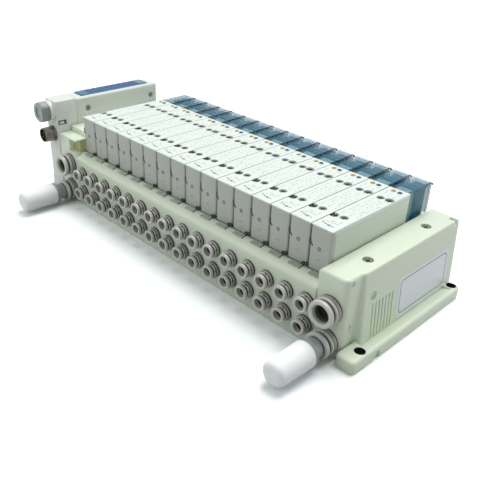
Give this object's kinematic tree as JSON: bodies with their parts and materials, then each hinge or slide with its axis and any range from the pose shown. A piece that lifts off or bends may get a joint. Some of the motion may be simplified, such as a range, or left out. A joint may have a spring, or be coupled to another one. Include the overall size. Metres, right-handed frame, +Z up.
{
  "type": "pneumatic valve island",
  "caption": "Row of solenoid valves on a moulded manifold base with push-in air ports, two end blocks, silencers and a bus interface unit.",
  "frame": {"origin": "centre of the four mounting holes, on the plane the feet stand on", "axes": "+X along the row of valves towards the plain end block, +Y from the air ports to the blue covers, +Z up"},
  "size_m": [0.342, 0.166, 0.0815],
  "materials": {
    "base_plastic": "fine matt moulding",
    "valve_body": "satin moulding",
    "front_cover": "satin moulding",
    "top_plate": "smooth moulding",
    "seal": "matt",
    "pilot_body": "matt",
    "blue_window": "clear tinted moulding",
    "button_a": "smooth",
    "button_b": "smooth",
    "fitting_grey": "satin moulding",
    "collar_grey": "satin moulding",
    "silencer_white": "porous sintered",
    "silencer_grey": "satin moulding",
    "housing_white": "fine matt moulding",
    "unit_window": "clear tinted moulding",
    "cap_grey": "satin moulding",
    "plug_metal": "turned, nickel plated",
    "plug_black": "satin",
    "screw_steel": "zinc plated",
    "rod_steel": "plain",
    "insert_olive": "matt"
  },
  "bodies": {
    "island": {"manifold_base": "base_plastic", "tie_rods": "rod_steel", "end_block_right": "base_plastic", "end_block_left": "base_plastic", "pocket_insert": "insert_olive", "valve_bodies": "valve_body", "valve_gaskets": "seal", "valve_front_covers": "front_cover", "valve_top_plates": "top_plate", "pilot_units": "pilot_body", "indicator_covers": "blue_window", "block_screws": "screw_steel", "port_fittings": "fitting_grey", "main_fittings": "fitting_grey", "silencer_stems": "silencer_grey", "silencer_elements": "silencer_white", "interface_housing": "housing_white", "interface_window": "unit_window", "interface_screws": "screw_steel", "interface_nose": "housing_white", "gland_body": "silencer_white", "gland_cap": "cap_grey", "connector_shell": "plug_metal", "connector_insert": "plug_black"},
    "button_a_01": {"override_a_01": "button_a"},
    "button_b_01": {"override_b_01": "button_b"},
    "button_a_02": {"override_a_02": "button_a"},
    "button_b_02": {"override_b_02": "button_b"},
    "button_a_03": {"override_a_03": "button_a"},
    "button_b_03": {"override_b_03": "button_b"},
    "button_a_04": {"override_a_04": "button_a"},
    "button_b_04": {"override_b_04": "button_b"},
    "button_a_05": {"override_a_05": "button_a"},
    "button_b_05": {"override_b_05": "button_b"},
    "button_a_06": {"override_a_06": "button_a"},
    "button_b_06": {"override_b_06": "button_b"},
    "button_a_07": {"override_a_07": "button_a"},
    "button_b_07": {"override_b_07": "button_b"},
    "button_a_08": {"override_a_08": "button_a"},
    "button_b_08": {"override_b_08": "button_b"},
    "button_a_09": {"override_a_09": "button_a"},
    "button_b_09": {"override_b_09": "button_b"},
    "button_a_10": {"override_a_10": "button_a"},
    "button_b_10": {"override_b_10": "button_b"},
    "button_a_11": {"override_a_11": "button_a"},
    "button_b_11": {"override_b_11": "button_b"},
    "button_a_12": {"override_a_12": "button_a"},
    "button_b_12": {"override_b_12": "button_b"},
    "button_a_13": {"override_a_13": "button_a"},
    "button_b_13": {"override_b_13": "button_b"},
    "button_a_14": {"override_a_14": "button_a"},
    "button_b_14": {"override_b_14": "button_b"},
    "button_a_15": {"override_a_15": "button_a"},
    "button_b_15": {"override_b_15": "button_b"},
    "button_a_16": {"override_a_16": "button_a"},
    "button_b_16": {"override_b_16": "button_b"},
    "release_supply_left": {"collar_supply_left": "collar_grey"},
    "release_exhaust_left": {"collar_exhaust_left": "collar_grey"},
    "release_supply_right": {"collar_supply_right": "collar_grey"},
    "release_exhaust_right": {"collar_exhaust_right": "collar_grey"}
  },
  "joints": [
    {"name": "press_a_01", "type": "slide", "parent": "island", "child": "button_a_01", "axis": [0, 0, -1], "range_m": [0, 0.0008], "stiffness_N_per_m": 400},
    {"name": "press_b_01", "type": "slide", "parent": "island", "child": "button_b_01", "axis": [0, 0, -1], "range_m": [0, 0.0008], "stiffness_N_per_m": 400},
    {"name": "press_a_02", "type": "slide", "parent": "island", "child": "button_a_02", "axis": [0, 0, -1], "range_m": [0, 0.0008], "stiffness_N_per_m": 400},
    {"name": "press_b_02", "type": "slide", "parent": "island", "child": "button_b_02", "axis": [0, 0, -1], "range_m": [0, 0.0008], "stiffness_N_per_m": 400},
    {"name": "press_a_03", "type": "slide", "parent": "island", "child": "button_a_03", "axis": [0, 0, -1], "range_m": [0, 0.0008], "stiffness_N_per_m": 400},
    {"name": "press_b_03", "type": "slide", "parent": "island", "child": "button_b_03", "axis": [0, 0, -1], "range_m": [0, 0.0008], "stiffness_N_per_m": 400},
    {"name": "press_a_04", "type": "slide", "parent": "island", "child": "button_a_04", "axis": [0, 0, -1], "range_m": [0, 0.0008], "stiffness_N_per_m": 400},
    {"name": "press_b_04", "type": "slide", "parent": "island", "child": "button_b_04", "axis": [0, 0, -1], "range_m": [0, 0.0008], "stiffness_N_per_m": 400},
    {"name": "press_a_05", "type": "slide", "parent": "island", "child": "button_a_05", "axis": [0, 0, -1], "range_m": [0, 0.0008], "stiffness_N_per_m": 400},
    {"name": "press_b_05", "type": "slide", "parent": "island", "child": "button_b_05", "axis": [0, 0, -1], "range_m": [0, 0.0008], "stiffness_N_per_m": 400},
    {"name": "press_a_06", "type": "slide", "parent": "island", "child": "button_a_06", "axis": [0, 0, -1], "range_m": [0, 0.0008], "stiffness_N_per_m": 400},
    {"name": "press_b_06", "type": "slide", "parent": "island", "child": "button_b_06", "axis": [0, 0, -1], "range_m": [0, 0.0008], "stiffness_N_per_m": 400},
    {"name": "press_a_07", "type": "slide", "parent": "island", "child": "button_a_07", "axis": [0, 0, -1], "range_m": [0, 0.0008], "stiffness_N_per_m": 400},
    {"name": "press_b_07", "type": "slide", "parent": "island", "child": "button_b_07", "axis": [0, 0, -1], "range_m": [0, 0.0008], "stiffness_N_per_m": 400},
    {"name": "press_a_08", "type": "slide", "parent": "island", "child": "button_a_08", "axis": [0, 0, -1], "range_m": [0, 0.0008], "stiffness_N_per_m": 400},
    {"name": "press_b_08", "type": "slide", "parent": "island", "child": "button_b_08", "axis": [0, 0, -1], "range_m": [0, 0.0008], "stiffness_N_per_m": 400},
    {"name": "press_a_09", "type": "slide", "parent": "island", "child": "button_a_09", "axis": [0, 0, -1], "range_m": [0, 0.0008], "stiffness_N_per_m": 400},
    {"name": "press_b_09", "type": "slide", "parent": "island", "child": "button_b_09", "axis": [0, 0, -1], "range_m": [0, 0.0008], "stiffness_N_per_m": 400},
    {"name": "press_a_10", "type": "slide", "parent": "island", "child": "button_a_10", "axis": [0, 0, -1], "range_m": [0, 0.0008], "stiffness_N_per_m": 400},
    {"name": "press_b_10", "type": "slide", "parent": "island", "child": "button_b_10", "axis": [0, 0, -1], "range_m": [0, 0.0008], "stiffness_N_per_m": 400},
    {"name": "press_a_11", "type": "slide", "parent": "island", "child": "button_a_11", "axis": [0, 0, -1], "range_m": [0, 0.0008], "stiffness_N_per_m": 400},
    {"name": "press_b_11", "type": "slide", "parent": "island", "child": "button_b_11", "axis": [0, 0, -1], "range_m": [0, 0.0008], "stiffness_N_per_m": 400},
    {"name": "press_a_12", "type": "slide", "parent": "island", "child": "button_a_12", "axis": [0, 0, -1], "range_m": [0, 0.0008], "stiffness_N_per_m": 400},
    {"name": "press_b_12", "type": "slide", "parent": "island", "child": "button_b_12", "axis": [0, 0, -1], "range_m": [0, 0.0008], "stiffness_N_per_m": 400},
    {"name": "press_a_13", "type": "slide", "parent": "island", "child": "button_a_13", "axis": [0, 0, -1], "range_m": [0, 0.0008], "stiffness_N_per_m": 400},
    {"name": "press_b_13", "type": "slide", "parent": "island", "child": "button_b_13", "axis": [0, 0, -1], "range_m": [0, 0.0008], "stiffness_N_per_m": 400},
    {"name": "press_a_14", "type": "slide", "parent": "island", "child": "button_a_14", "axis": [0, 0, -1], "range_m": [0, 0.0008], "stiffness_N_per_m": 400},
    {"name": "press_b_14", "type": "slide", "parent": "island", "child": "button_b_14", "axis": [0, 0, -1], "range_m": [0, 0.0008], "stiffness_N_per_m": 400},
    {"name": "press_a_15", "type": "slide", "parent": "island", "child": "button_a_15", "axis": [0, 0, -1], "range_m": [0, 0.0008], "stiffness_N_per_m": 400},
    {"name": "press_b_15", "type": "slide", "parent": "island", "child": "button_b_15", "axis": [0, 0, -1], "range_m": [0, 0.0008], "stiffness_N_per_m": 400},
    {"name": "press_a_16", "type": "slide", "parent": "island", "child": "button_a_16", "axis": [0, 0, -1], "range_m": [0, 0.0008], "stiffness_N_per_m": 400},
    {"name": "press_b_16", "type": "slide", "parent": "island", "child": "button_b_16", "axis": [0, 0, -1], "range_m": [0, 0.0008], "stiffness_N_per_m": 400},
    {"name": "release_supply_left_slide", "type": "slide", "parent": "island", "child": "release_supply_left", "axis": [0, 1, 0], "range_m": [0, 0.0015], "stiffness_N_per_m": 1500},
    {"name": "release_exhaust_left_slide", "type": "slide", "parent": "island", "child": "release_exhaust_left", "axis": [0, 1, 0], "range_m": [0, 0.0015], "stiffness_N_per_m": 1500},
    {"name": "release_supply_right_slide", "type": "slide", "parent": "island", "child": "release_supply_right", "axis": [0, 1, 0], "range_m": [0, 0.0015], "stiffness_N_per_m": 1500},
    {"name": "release_exhaust_right_slide", "type": "slide", "parent": "island", "child": "release_exhaust_right", "axis": [0, 1, 0], "range_m": [0, 0.0015], "stiffness_N_per_m": 1500}
  ]
}
